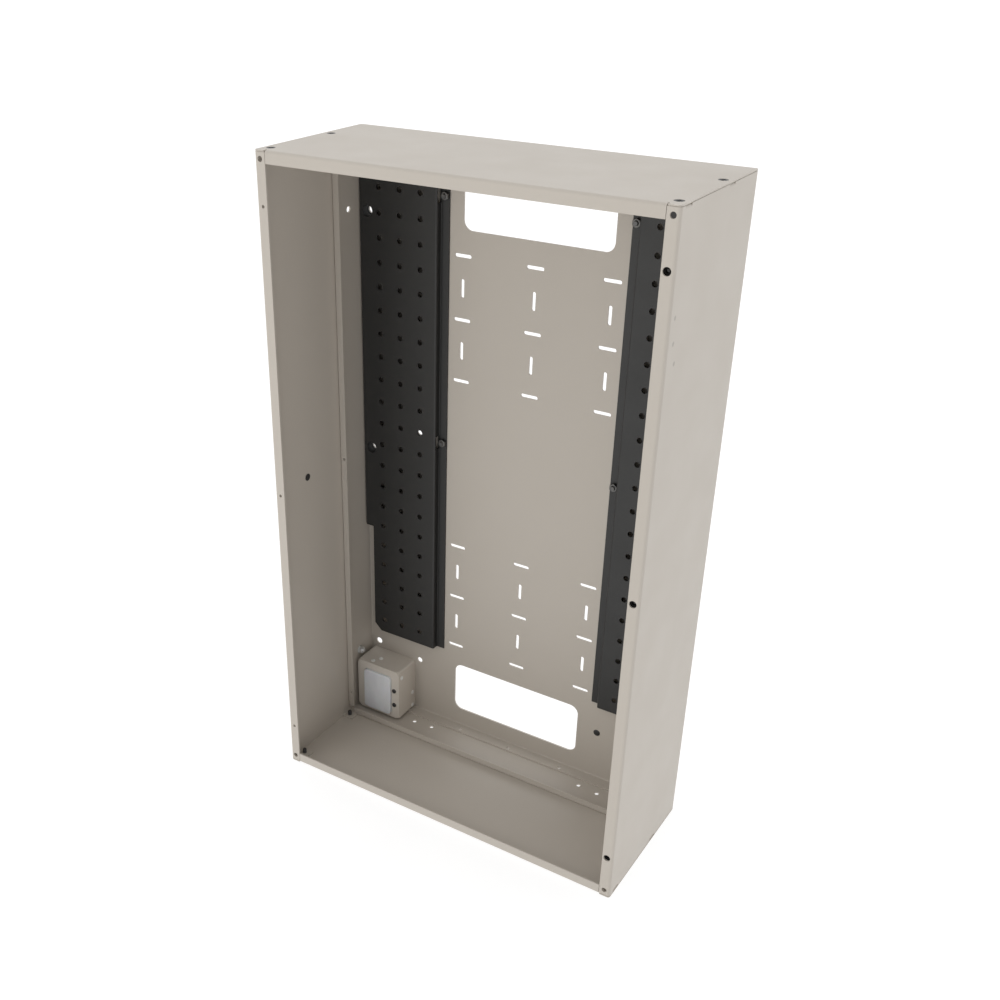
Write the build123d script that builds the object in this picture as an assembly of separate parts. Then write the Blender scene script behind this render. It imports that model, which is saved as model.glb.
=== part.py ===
from build123d import *
import os

# Subpanel enclosure: an open-front sheet steel box that holds two perforated device plates
# and a small junction box. The origin is the middle of the underside. +X is to the right
# when facing the open front, +Y points from the front to the wall behind, and +Z is up.
# All sizes are millimetres.

# Outer box
WIDTH = 361.95
HEIGHT = 609.6
DEPTH = 146.05
SHEET = 1.5
BEND = 1.0                      # inside radius of every fold in the enclosure sheet
LIP = 10.4                      # front lip, from the outside of the wall to its free edge
LIP_GAP = 0.4                   # end of an end plate's lip to the side lip
RELIEF = 1.0                    # slit beside each end of an end plate's fold
CORNER_HOLE = 4.8               # round relief hole where two lips meet
CORNER_HOLE_INSET = (5.5, 7.0)  # from the outside of the wall, from the end of the box

# Joint between the folded body and its end plates
END_FLANGE = 14.0               # width of the body's tabs and flange under an end plate
END_TAB = 10.8                  # length of a side wall's tab, centred on its screw
BACK_FLANGE_INSET = 18.0        # from the outside of the wall to the end of the back's flange
SEAM = 0.5                      # groove under the edge of an end plate
END_SCREW_INSET = 7.2           # from the outside of the wall
END_SCREW_FRONT = 12.5          # from the front plane to the near pair
END_SCREW_REAR = 92.5
END_SCREW_HEAD = 7.6
END_SCREW_SHANK = 4.0
END_SCREW_HEAD_DEPTH = 1.3
END_SCREW_LENGTH = 8.0
END_SCREW_SINK = 0.1            # top of the head below the plate's face
FIT = 0.05                      # radial clearance of a screw in its thread
SEAT = 0.1                      # radial clearance of a countersunk head in its seat
CUT = 1.0                       # how far a cut runs past the faces that it opens

# Row of small drain and tie holes in the bottom end plate: across, from the front plane
BOTTOM_HOLES = [(0.0, 136.0), (59.5, 136.5), (88.0, 124.0), (109.0, 122.5)]
BOTTOM_HOLE = 4.2

# Trim cover fixing: three holes in the right lip with a nut behind each, and three small
# holes opposite them in the left lip
COVER_HOLE = 6.4
LEFT_LIP_HOLE = 3.0
COVER_HOLE_END = 44.4           # from each end of the box to the nearest hole
COVER_NUT_FLATS = 7.0
COVER_NUT_THICK = 3.2
COVER_NUT_BORE = 3.4

# Inner ledge all round the walls
LEDGE_FROM_FRONT = 98.0
LEDGE = 8.6                     # from the outside of the wall to the ledge's free edge
LEDGE_LEG = 9.0
LEDGE_SHEET = 1.2
LEDGE_BEND = 0.5
LEDGE_END_GAP = 0.5
LEDGE_HOLE = 3.0
LEDGE_HOLE_INSET = 6.0          # from the outside of the wall
LEDGE_HOLE_END = 28.5           # from each end of the box to the nearest hole

# Back panel
CABLE_OPENING_WIDTH = 144.0
CABLE_OPENING_HEIGHT = 56.0
CABLE_OPENING_RADIUS = 9.0
CABLE_OPENING_END_GAP = 22.5    # from the end of the box to the opening
SLOT_LENGTH = 17.0
SLOT_WIDTH = 3.4
SLOT_COLUMN_PITCH = 72.0
SLOT_PITCH = 29.1               # between one slot and the next along a column
SLOT_END = 101.2                # from each end of the box to the nearest slot
SLOT_COUNT = 5
WALL_HOLE = 7.0
WALL_HOLE_INSET = 11.5          # from the outside of the wall
WALL_HOLE_END = 72.5            # from each end of the box to the nearest wall hole
SPARE_HOLE = 6.0
SPARE_HOLE_INSET = 64.4
SPARE_HOLE_HEIGHTS = (66.3, 330.9)     # from the underside

# Side walls
SIDE_HOLE = 5.5
SIDE_HOLE_FROM_FRONT = 122.0
SIDE_HOLE_END = 69.8            # from each end of the box
PLUG_HOLE = 5.0
SIDE_PLUG_FROM_FRONT = 46.0
BACK_PLUG_INSET = 87.0
BACK_PLUG_HEIGHT = 56.5
PLUG_HEAD = 7.0
PLUG_HEAD_THICK = 0.8

# Perforated device plates
PLATE_SHEET = 1.2
PLATE_BEND = 0.6
PLATE_STANDOFF = 8.0            # back panel to the front face of the plate
PLATE_WALL_GAP = 1.1            # plate to the inside of the side wall
PLATE_EDGE = 86.4               # from the outside of the wall to the raised face's far edge
PLATE_FOOT_EDGE = 95.0
PLATE_REAR_GAP = 0.3            # free flange to the back panel
PLATE_BOTTOM = 92.5
PLATE_TOP_GAP = 26.6            # from the top of the box to the plate
PLATE_STEP_HEIGHT = 217.0       # below this the plate is narrower on the wall side
PLATE_STEP = 12.0               # from the outside of the wall to the narrower edge
PLATE_CHAMFER = 8.0
PLATE_HOLE = 5.4
PLATE_HOLE_FIRST = (24.4, 107.5)
PLATE_HOLE_PITCH = (22.2, 22.6)
PLATE_HOLE_COLUMNS = 3
PLATE_HOLE_END = 15.0           # least distance from the top row to the plate's top
DIMPLE_RADIUS = 6.8
DIMPLE_SLOPE = 1.4              # how much the dimple narrows from the face to the back panel
STUD_INSET = 90.9
STUD_BELOW_TOP = 24.3           # upper stud below the plate's top
STUD_SPACING = 232.3            # upper stud to the lower one
STUD = 4.0
STUD_LENGTH = 7.0
STUD_NOTCH = 13.0               # height of the notch that clears each nut
NUT_FLATS = 7.0
NUT_THICK = 3.0

# Ground stud in the left wall
GROUND_WASHER = 9.0
GROUND_WASHER_THICK = 0.8

# Junction box in the lower left rear corner
BOX_LEFT = 5.0                  # from the outside of the wall
BOX_WIDTH = 53.0
BOX_HEIGHT = 60.0
BOX_DEPTH = 30.5
BOX_SHEET = 1.0
BOX_RADIUS = 2.0
COVER_SHEET = 1.2
COVER_RADIUS = 5.0
BLOCK_LEFT = 9.0                # from the left side of the junction box
BLOCK_WIDTH = 34.3
BLOCK_HEIGHT = 48.0
BLOCK_BOTTOM = 3.4              # above the underside of the junction box
BLOCK_PROUD = 3.0
BLOCK_DEPTH = 24.0
BLOCK_RADIUS = 4.0
BLOCK_EDGE = 1.2
WINDOW_GAP = 0.3
BOX_SCREW_INSET = 5.9           # from the right side of the junction box
BOX_SCREW_HEIGHTS = (17.0, 35.0)
BOX_SCREW_HEAD = 5.0
BOX_SCREW_HEAD_THICK = 1.6
BOX_SCREW_SHANK = 2.6
BOX_SCREW_LENGTH = 7.0
BOX_TAB = 3.2                   # edge of the tab behind the cover, round its screws
RIVET_HEAD = 4.8
RIVET_HEAD_THICK = 0.8
RIVET_SHANK = 2.2
SIDE_RIVETS = [(25.6, 3.8), (25.6, 20.4), (4.6, 50.8)]     # from the box's front and underside
TOP_RIVETS = [(16.3, 4.4), (21.1, 12.2)]                   # from the box's left side and front
BOX_MOUNT_SPREAD = 15.0
BOX_MOUNT_HEIGHT = 55.5

LEFT = -WIDTH / 2
RIGHT = WIDTH / 2
FRONT = -DEPTH / 2
BACK = DEPTH / 2
MIDDLE = HEIGHT / 2
BACK_FACE = BACK - SHEET        # front surface of the back panel
OUTSIDE_BEND = BEND + SHEET
END_FLANGE_LEG = OUTSIDE_BEND + SHEET       # upright part of an end flange's folded strip
COVER_HOLE_INSET = SHEET + BEND + COVER_NUT_FLATS / 2     # its nut clears the wall's fold
PLATE_TOP = HEIGHT - PLATE_TOP_GAP
BOX_BOTTOM = 2 * SHEET + BEND   # clear of the fold between the back panel and its flange
MIRROR_ENDS = Plane.XY.offset(MIDDLE)


def box_between(x_range, y_range, z_range):
    """Box from its lowest and highest corner."""
    size = [high - low for low, high in (x_range, y_range, z_range)]
    middle = [(low + high) / 2 for low, high in (x_range, y_range, z_range)]
    return Pos(*middle) * Box(*size)


def along_x(sketch, x_low, x_high):
    """Solid of a sketch drawn in (y, z)."""
    return extrude(Plane.YZ.offset(x_low) * sketch, x_high - x_low)


def along_y(sketch, y_low, y_high):
    """Solid of a sketch drawn in (x, z)."""
    return extrude(Plane.XZ.offset(-y_high) * sketch, y_high - y_low)


def along_z(sketch, z_low, z_high):
    """Solid of a sketch drawn in (x, y)."""
    return extrude(Plane.XY.offset(z_low) * sketch, z_high - z_low)


def circles(places, diameter):
    """One round hole or pin outline at each place."""
    return Sketch() + [Pos(*place) * Circle(diameter / 2) for place in places]


def hexagons(places, flats):
    """One hexagon outline at each place, with two flats upright."""
    hexagon = Rot(0, 0, 30) * RegularPolygon(flats / 2, 6, major_radius=False)
    return Sketch() + [Pos(*place) * hexagon for place in places]


def mirrored_ends(part):
    """The same part at the other end of the box."""
    return mirror(part, about=MIRROR_ENDS)


def mirrored_sides(part):
    """The same part at the right side of the box."""
    return mirror(part, about=Plane.YZ)


def folded_section(outline, thickness, inside_radius):
    """Section of a folded sheet from the corner points of one face, the sheet on their left.

    Each fold is rounded by inside_radius on its inner side and by that plus the thickness
    on its outer side.
    """
    points = [Vector(*point) for point in outline]
    runs = [(b - a).normalized() for a, b in zip(points, points[1:])]
    sides = [Vector(-run.Y, run.X) for run in runs]
    near = [sides[0]] + sides
    far = sides + [sides[-1]]
    offsets = [(a + b) * (thickness / (1 + a.dot(b))) for a, b in zip(near, far)]
    other = [point + offset for point, offset in zip(points, offsets)]
    turns = [a.cross(b).Z > 0 for a, b in zip(runs, runs[1:])]
    outside_radius = inside_radius + thickness
    face_radii = [outside_radius if left else inside_radius for left in turns]
    other_radii = [inside_radius if left else outside_radius for left in turns]
    face = FilletPolyline(*points, radius=face_radii)
    back = FilletPolyline(*other, radius=other_radii)
    ends = [Line(points[0], other[0]), Line(points[-1], other[-1])]
    edges = [*face.edges(), *back.edges(), *ends[0].edges(), *ends[1].edges()]
    return make_face(edges)


def end_screw_places():
    """The four screws of an end plate, in (x, y)."""
    rows = (FRONT + END_SCREW_FRONT, FRONT + END_SCREW_REAR)
    return [(side * (RIGHT - END_SCREW_INSET), y) for side in (-1, 1) for y in rows]


def end_tab_ranges():
    """Where each tab of a side wall starts and ends along Y."""
    middles = (FRONT + END_SCREW_FRONT, FRONT + END_SCREW_REAR)
    return [(middle - END_TAB / 2, middle + END_TAB / 2) for middle in middles]


def end_flanges():
    """The body's tabs and back flange under the top end plate."""
    top = HEIGHT - SHEET
    start = top - END_FLANGE_LEG
    side = [(LEFT + END_FLANGE, top), (LEFT, top), (LEFT, start)]
    side_section = folded_section(side, SHEET, BEND)
    tabs = Part() + [along_y(side_section, *y_range) for y_range in end_tab_ranges()]
    rear = [(BACK, start), (BACK, top), (BACK - END_FLANGE, top)]
    rear_section = folded_section(rear, SHEET, BEND)
    back = along_x(rear_section, LEFT + BACK_FLANGE_INSET, RIGHT - BACK_FLANGE_INSET)
    return tabs + mirrored_sides(tabs) + back


def end_flange_room():
    """What the walls give up at the top so that the folds of the tabs and flange replace it."""
    z_range = (HEIGHT - SHEET - END_FLANGE_LEG, HEIGHT)
    wall = (LEFT, LEFT + SHEET)
    tabs = Part() + [box_between(wall, y_range, z_range) for y_range in end_tab_ranges()]
    x_range = (LEFT + BACK_FLANGE_INSET, RIGHT - BACK_FLANGE_INSET)
    back = box_between(x_range, (BACK_FACE, BACK), z_range)
    return tabs + mirrored_sides(tabs) + back


def slot_sketch():
    """Both groups of slots in three columns: crosswise and upright slots take turns."""
    across = SlotOverall(SLOT_LENGTH, SLOT_WIDTH)
    upright = SlotOverall(SLOT_LENGTH, SLOT_WIDTH, rotation=90)
    slots = Sketch()
    for column in (-1, 0, 1):
        for step in range(SLOT_COUNT):
            slot = upright if step % 2 else across
            height = MIDDLE - SLOT_END - step * SLOT_PITCH
            for end in (-1, 1):
                slots += Pos(column * SLOT_COLUMN_PITCH, MIDDLE + end * height) * slot
    return slots


def cable_opening():
    """The upper cable opening's outline in (x, z)."""
    outline = RectangleRounded(CABLE_OPENING_WIDTH, CABLE_OPENING_HEIGHT, CABLE_OPENING_RADIUS)
    return Pos(0, HEIGHT - CABLE_OPENING_END_GAP - CABLE_OPENING_HEIGHT / 2) * outline


def end_heights(inset):
    """Heights at the same distance from the underside and from the top."""
    return [inset, HEIGHT - inset]


def wall_hole_places():
    """The six holes for fixing the box to a wall, in (x, z)."""
    heights = [MIDDLE] + end_heights(WALL_HOLE_END)
    return [(side * (RIGHT - WALL_HOLE_INSET), z) for side in (-1, 1) for z in heights]


def spare_hole_places():
    """Spare fixing holes under and beside the device plates, in (x, z)."""
    across = RIGHT - SPARE_HOLE_INSET
    return [(side * across, z) for side in (-1, 1) for z in SPARE_HOLE_HEIGHTS]


def stud_places(side):
    """The two studs of one device plate, in (x, z)."""
    high = PLATE_TOP - STUD_BELOW_TOP
    return [(side * (RIGHT - STUD_INSET), z) for z in (high - STUD_SPACING, high)]


def box_mount_places():
    """The junction box's two fixing screws, in (x, z)."""
    middle = LEFT + BOX_LEFT + BOX_WIDTH / 2
    return [(middle + side * BOX_MOUNT_SPREAD, BOX_BOTTOM + BOX_MOUNT_HEIGHT) for side in (-1, 1)]


def back_panel_cuts():
    """Everything cut through the back panel."""
    opening = cable_opening()
    lower_opening = Pos(0, HEIGHT) * mirror(opening, about=Plane.XZ)
    sketch = slot_sketch() + opening + lower_opening
    sketch += circles(wall_hole_places(), WALL_HOLE)
    sketch += circles(spare_hole_places(), SPARE_HOLE)
    sketch += circles(stud_places(-1) + stud_places(1), STUD)
    sketch += circles(box_mount_places(), BOX_SCREW_SHANK)
    sketch += circles([(RIGHT - BACK_PLUG_INSET, BACK_PLUG_HEIGHT)], PLUG_HOLE)
    return along_y(sketch, BACK_FACE - CUT, BACK + CUT)


def lip_hole_places(side):
    """The three round holes of one side lip, in (x, z)."""
    heights = [MIDDLE] + end_heights(COVER_HOLE_END)
    return [(side * (RIGHT - COVER_HOLE_INSET), z) for z in heights]


def corner_hole_places():
    """The four round reliefs at the corners of the front, in (x, z)."""
    inset, from_end = CORNER_HOLE_INSET
    return [(side * (RIGHT - inset), z) for side in (-1, 1) for z in end_heights(from_end)]


def side_hole_places():
    """The two holes of the left wall, in (y, z). The lower one takes the ground stud."""
    return [(FRONT + SIDE_HOLE_FROM_FRONT, z) for z in end_heights(SIDE_HOLE_END)]


def bottom_hole_places():
    """The row of small holes near the back of the bottom, in (x, y)."""
    return [(side * x, FRONT + y) for x, y in BOTTOM_HOLES for side in (-1, 1)]


def enclosure_body():
    """Back panel, both side walls and their front lips, folded from one sheet."""
    outline = [
        (RIGHT - LIP, FRONT),
        (RIGHT, FRONT),
        (RIGHT, BACK),
        (LEFT, BACK),
        (LEFT, FRONT),
        (LEFT + LIP, FRONT),
    ]
    body = along_z(folded_section(outline, SHEET, BEND), SHEET, HEIGHT - SHEET)
    body -= end_flange_room()
    body -= mirrored_ends(end_flange_room())
    body += end_flanges()
    body += mirrored_ends(end_flanges())
    lip_sketch = circles(lip_hole_places(1), COVER_HOLE)
    lip_sketch += circles(lip_hole_places(-1), LEFT_LIP_HOLE)
    lip_sketch += circles(corner_hole_places(), CORNER_HOLE)
    body -= along_y(lip_sketch, FRONT - CUT, FRONT + SHEET + CUT)
    body -= back_panel_cuts()
    wall_sketch = circles(side_hole_places()[1:], SIDE_HOLE)
    wall_sketch += circles(side_hole_places()[:1], STUD)
    wall_sketch += circles([(FRONT + SIDE_PLUG_FROM_FRONT, MIDDLE)], PLUG_HOLE)
    body -= along_x(wall_sketch, LEFT - CUT, LEFT + SHEET + CUT)
    thread = circles(end_screw_places(), END_SCREW_SHANK + 2 * FIT)
    body -= along_z(thread, HEIGHT - 2 * SHEET - CUT, HEIGHT)
    body -= along_z(thread, 0, 2 * SHEET + CUT)
    return body - along_z(circles(bottom_hole_places(), BOTTOM_HOLE), 0, 2 * SHEET + CUT)


def countersinks(gap):
    """The heads of the top end plate's screws, grown by a radial gap."""
    face = HEIGHT - END_SCREW_SINK
    cone = Cone(
        END_SCREW_SHANK / 2 + gap,
        END_SCREW_HEAD / 2 + gap,
        END_SCREW_HEAD_DEPTH,
        align=(Align.CENTER, Align.CENTER, Align.MAX),
    )
    return [Pos(x, y, face) * cone for x, y in end_screw_places()]


def top_end_plate():
    """Flat end plate with a folded front lip, seated on the body's flanges."""
    fold_start = FRONT + OUTSIDE_BEND + RELIEF
    outline = RectangleRounded(WIDTH, DEPTH, OUTSIDE_BEND)
    plate = along_z(outline, HEIGHT - SHEET + SEAM, HEIGHT)
    plate += along_z(offset(outline, -SEAM), HEIGHT - SHEET, HEIGHT - SHEET + SEAM)
    room = LEFT + LIP + LIP_GAP - RELIEF
    plate -= box_between((room, -room), (FRONT, fold_start), (HEIGHT - SHEET, HEIGHT))
    fold = [(fold_start, HEIGHT), (FRONT, HEIGHT), (FRONT, HEIGHT - LIP)]
    lip_start = LEFT + LIP + LIP_GAP
    plate += along_x(folded_section(fold, SHEET, BEND), lip_start, -lip_start)
    plate -= along_z(circles(end_screw_places(), END_SCREW_SHANK + 2 * SEAT), HEIGHT - SHEET, HEIGHT)
    mouth = circles(end_screw_places(), END_SCREW_HEAD + 2 * SEAT)
    plate -= along_z(mouth, HEIGHT - END_SCREW_SINK, HEIGHT)
    for sink in countersinks(SEAT):
        plate -= sink
    return plate


def bottom_end_plate():
    """The top end plate turned over, with a row of small holes near the back."""
    plate = mirrored_ends(top_end_plate())
    return plate - along_z(circles(bottom_hole_places(), BOTTOM_HOLE), -CUT, SHEET + CUT)


def top_end_screws():
    """Four flush screws that hold the top end plate."""
    shank_top = HEIGHT - END_SCREW_SINK - END_SCREW_HEAD_DEPTH
    shank_bottom = HEIGHT - END_SCREW_LENGTH
    shanks = along_z(circles(end_screw_places(), END_SCREW_SHANK), shank_bottom, shank_top)
    heads = countersinks(0)
    return Compound(children=[head + shank for head, shank in zip(heads, shanks.solids())])


def side_ledge():
    """Angle along the left wall; its front leg has three holes."""
    wall = LEFT + SHEET
    start = FRONT + LEDGE_FROM_FRONT
    outline = [(wall, start + LEDGE_LEG), (wall, start), (LEFT + LEDGE, start)]
    end = SHEET + LEDGE_SHEET + LEDGE_END_GAP + (LEDGE - SHEET)
    angle = along_z(folded_section(outline, LEDGE_SHEET, LEDGE_BEND), end, HEIGHT - end)
    heights = [MIDDLE] + end_heights(LEDGE_HOLE_END)
    holes = circles([(LEFT + LEDGE_HOLE_INSET, z) for z in heights], LEDGE_HOLE)
    return angle - along_y(holes, start - CUT, start + LEDGE_SHEET + CUT)


def end_ledge():
    """Angle along the bottom end plate, between the side walls."""
    start = FRONT + LEDGE_FROM_FRONT
    outline = [(start, LEDGE), (start, SHEET), (start + LEDGE_LEG, SHEET)]
    reach = LEFT + LEDGE + LEDGE_END_GAP
    return along_x(folded_section(outline, LEDGE_SHEET, LEDGE_BEND), reach, -reach)


def dimple_places():
    """The two wall holes that the left device plate reaches down to, in (x, z)."""
    heights = (MIDDLE, HEIGHT - WALL_HOLE_END)
    return [(LEFT + WALL_HOLE_INSET, z) for z in heights]


def cone_along_y(place, near, far):
    """Frustum about a line parallel to Y; near and far are (y, radius) pairs."""
    height = far[0] - near[0]
    middle = (near[0] + far[0]) / 2
    cone = Rot(-90, 0, 0) * Cone(near[1], far[1], height)
    return Pos(place[0], middle, place[1]) * cone


def dimple(place):
    """Conical dimple that meets the back panel, with a bore at its bottom."""
    face = BACK_FACE - PLATE_STANDOFF
    floor = BACK_FACE - PLATE_SHEET
    bottom_radius = DIMPLE_RADIUS - DIMPLE_SLOPE
    shell = cone_along_y(place, (face, DIMPLE_RADIUS), (BACK_FACE, bottom_radius))
    inside = DIMPLE_RADIUS - PLATE_SHEET
    inside_bottom = bottom_radius - PLATE_SHEET
    shell -= cone_along_y(place, (face, inside), (floor, inside_bottom))
    return shell - along_y(circles([place], WALL_HOLE), floor - PLATE_SHEET, BACK)


def plate_cut_outline():
    """What is cut from the wall side of the left plate below its step, in (x, z)."""
    wall = LEFT + SHEET
    step = LEFT + PLATE_STEP
    points = [
        (wall, PLATE_BOTTOM - CUT),
        (step + PLATE_CHAMFER, PLATE_BOTTOM - CUT),
        (step + PLATE_CHAMFER, PLATE_BOTTOM),
        (step, PLATE_BOTTOM + PLATE_CHAMFER),
        (step, PLATE_STEP_HEIGHT),
        (wall, PLATE_STEP_HEIGHT),
    ]
    return make_face(Polyline(*points, close=True).edges())


def plate_hole_places():
    """The left plate's grid of holes, in (x, z)."""
    first_x, first_z = PLATE_HOLE_FIRST
    pitch_x, pitch_z = PLATE_HOLE_PITCH
    columns = [LEFT + first_x + pitch_x * column for column in range(PLATE_HOLE_COLUMNS)]
    row_count = int((PLATE_TOP - PLATE_HOLE_END - first_z) / pitch_z) + 1
    rows = [first_z + pitch_z * row for row in range(row_count)]
    return [(x, z) for x in columns for z in rows]


def left_device_plate():
    """Perforated plate on a raised channel, with a foot along its inner side."""
    face = BACK_FACE - PLATE_STANDOFF
    foot = BACK_FACE - PLATE_SHEET
    wall = LEFT + SHEET + PLATE_WALL_GAP
    outline = [
        (wall, BACK_FACE - PLATE_REAR_GAP),
        (wall, face),
        (LEFT + PLATE_EDGE, face),
        (LEFT + PLATE_EDGE, foot),
        (LEFT + PLATE_FOOT_EDGE, foot),
    ]
    section = folded_section(outline, PLATE_SHEET, PLATE_BEND)
    plate = along_z(section, PLATE_BOTTOM, PLATE_TOP)
    plate -= along_y(plate_cut_outline(), face - CUT, BACK_FACE)
    for x, z in stud_places(-1):
        x_range = (LEFT + PLATE_EDGE - PLATE_SHEET - PLATE_BEND, x - NUT_FLATS / 2 - FIT)
        half = STUD_NOTCH / 2
        plate -= box_between(x_range, (face + PLATE_SHEET, foot), (z - half, z + half))
    plate -= along_y(circles(stud_places(-1), STUD + 2 * FIT), foot - CUT, BACK)
    plate -= along_y(circles(plate_hole_places(), PLATE_HOLE), face - CUT, face + PLATE_SHEET + CUT)
    for place in dimple_places():
        plate -= along_y(circles([place], 2 * DIMPLE_RADIUS - PLATE_SHEET), face - CUT, foot)
        plate += dimple(place)
    return plate


def plate_studs(side):
    """Studs pressed flush into the back panel for one device plate."""
    return along_y(circles(stud_places(side), STUD), BACK - STUD_LENGTH, BACK)


def plate_nuts(side):
    """Nuts that clamp one device plate's foot."""
    seat = BACK_FACE - PLATE_SHEET
    sketch = hexagons(stud_places(side), NUT_FLATS) - circles(stud_places(side), STUD + 2 * FIT)
    return along_y(sketch, seat - NUT_THICK, seat)


def cover_nuts():
    """Weld nuts behind the right lip for the trim cover's screws."""
    seat = FRONT + SHEET
    places = lip_hole_places(1)
    sketch = hexagons(places, COVER_NUT_FLATS) - circles(places, COVER_NUT_BORE)
    return along_y(sketch, seat, seat + COVER_NUT_THICK)


def ground_stud():
    """Stud pressed flush into the left wall."""
    return along_x(circles(side_hole_places()[:1], STUD), LEFT, LEFT + STUD_LENGTH)


def ground_washer():
    """Washer between the ground stud's nut and the wall."""
    places = side_hole_places()[:1]
    sketch = circles(places, GROUND_WASHER) - circles(places, STUD + 2 * FIT)
    return along_x(sketch, LEFT + SHEET, LEFT + SHEET + GROUND_WASHER_THICK)


def ground_nut():
    """Nut on the ground stud."""
    places = side_hole_places()[:1]
    sketch = hexagons(places, NUT_FLATS) - circles(places, STUD + 2 * FIT)
    seat = LEFT + SHEET + GROUND_WASHER_THICK
    return along_x(sketch, seat, seat + NUT_THICK)


def back_panel_plug():
    """Snap plug that closes the spare hole at the lower right of the back panel."""
    place = [(RIGHT - BACK_PLUG_INSET, BACK_PLUG_HEIGHT)]
    head = along_y(circles(place, PLUG_HEAD), BACK_FACE - PLUG_HEAD_THICK, BACK_FACE)
    return head + along_y(circles(place, PLUG_HOLE - 2 * FIT), BACK_FACE, BACK)


def side_wall_plug():
    """Snap plug that closes the hole half-way up the left wall."""
    place = [(FRONT + SIDE_PLUG_FROM_FRONT, MIDDLE)]
    inner = LEFT + SHEET
    head = along_x(circles(place, PLUG_HEAD), inner, inner + PLUG_HEAD_THICK)
    return head + along_x(circles(place, PLUG_HOLE - 2 * FIT), LEFT, inner)


def side_rivet_sketch(diameter):
    """Round outlines at the rivets of the junction box's right side, in (y, z)."""
    front = BACK_FACE - BOX_DEPTH
    return circles([(front + y, BOX_BOTTOM + z) for y, z in SIDE_RIVETS], diameter)


def top_rivet_sketch(diameter):
    """Round outlines at the rivets of the junction box's top, in (x, y)."""
    left = LEFT + BOX_LEFT
    front = BACK_FACE - BOX_DEPTH
    return circles([(left + x, front + y) for x, y in TOP_RIVETS], diameter)


def junction_box_screw_places():
    """The junction box cover's screws, in (x, z)."""
    x = LEFT + BOX_LEFT + BOX_WIDTH - BOX_SCREW_INSET
    return [(x, BOX_BOTTOM + z) for z in BOX_SCREW_HEIGHTS]


def junction_box_body():
    """Small sheet steel box, open to the front, with a tab for the cover's screws."""
    left = LEFT + BOX_LEFT
    right = left + BOX_WIDTH
    top = BOX_BOTTOM + BOX_HEIGHT
    front = BACK_FACE - BOX_DEPTH
    middle = (left + right) / 2
    outline = Pos(middle, (BOX_BOTTOM + top) / 2) * RectangleRounded(BOX_WIDTH, BOX_HEIGHT, BOX_RADIUS)
    hollow = offset(outline, -BOX_SHEET)
    body = along_y(outline, front, BACK_FACE) - along_y(hollow, front, BACK_FACE - BOX_SHEET)
    tab_low = BOX_BOTTOM + BOX_SCREW_HEIGHTS[0] - BOX_TAB
    tab_high = BOX_BOTTOM + BOX_SCREW_HEIGHTS[1] + BOX_TAB
    tab_left = right - BOX_SCREW_INSET - BOX_TAB
    body += box_between((tab_left, right - BOX_SHEET / 2), (front, front + BOX_SHEET), (tab_low, tab_high))
    thread = circles(junction_box_screw_places(), BOX_SCREW_SHANK + 2 * FIT)
    body -= along_y(thread, front - CUT, front + BOX_SHEET + CUT)
    bore = RIVET_SHANK + 2 * FIT
    body -= along_x(side_rivet_sketch(bore), right - BOX_SHEET - CUT, right + CUT)
    body -= along_z(top_rivet_sketch(bore), top - BOX_SHEET - CUT, top + CUT)
    mount = circles(box_mount_places(), BOX_SCREW_SHANK + 2 * FIT)
    return body - along_y(mount, BACK_FACE - BOX_SHEET - CUT, BACK)


def block_outline(gap):
    """Front outline of the terminal block, grown by a gap, in (x, z)."""
    width = BLOCK_WIDTH + 2 * gap
    height = BLOCK_HEIGHT + 2 * gap
    middle_x = LEFT + BOX_LEFT + BLOCK_LEFT + BLOCK_WIDTH / 2
    middle_z = BOX_BOTTOM + BLOCK_BOTTOM + BLOCK_HEIGHT / 2
    return Pos(middle_x, middle_z) * RectangleRounded(width, height, BLOCK_RADIUS)


def junction_box_cover():
    """Front cover of the junction box, with a window for the terminal block."""
    middle_x = LEFT + BOX_LEFT + BOX_WIDTH / 2
    middle_z = BOX_BOTTOM + BOX_HEIGHT / 2
    outline = Pos(middle_x, middle_z) * RectangleRounded(BOX_WIDTH, BOX_HEIGHT, COVER_RADIUS)
    outline -= block_outline(WINDOW_GAP)
    outline -= circles(junction_box_screw_places(), BOX_SCREW_SHANK + 2 * SEAT)
    seat = BACK_FACE - BOX_DEPTH
    return along_y(outline, seat - COVER_SHEET, seat)


def terminal_block():
    """Moulded block that fills the cover's window."""
    face = BACK_FACE - BOX_DEPTH - COVER_SHEET - BLOCK_PROUD
    block = along_y(block_outline(0), face, face + BLOCK_DEPTH)
    front_edges = block.faces().sort_by(Axis.Y)[0].edges()
    return fillet(front_edges, BLOCK_EDGE)


def junction_box_cover_screws():
    """Two screws that hold the junction box cover."""
    seat = BACK_FACE - BOX_DEPTH - COVER_SHEET
    places = junction_box_screw_places()
    heads = along_y(circles(places, BOX_SCREW_HEAD), seat - BOX_SCREW_HEAD_THICK, seat)
    return heads + along_y(circles(places, BOX_SCREW_SHANK), seat, seat + BOX_SCREW_LENGTH)


def junction_box_rivets():
    """Rivets on the junction box's right side and on its top."""
    side = LEFT + BOX_LEFT + BOX_WIDTH
    top = BOX_BOTTOM + BOX_HEIGHT
    rivets = along_x(side_rivet_sketch(RIVET_HEAD), side, side + RIVET_HEAD_THICK)
    rivets += along_x(side_rivet_sketch(RIVET_SHANK), side - BOX_SHEET, side)
    rivets += along_z(top_rivet_sketch(RIVET_HEAD), top, top + RIVET_HEAD_THICK)
    return rivets + along_z(top_rivet_sketch(RIVET_SHANK), top - BOX_SHEET, top)


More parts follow.
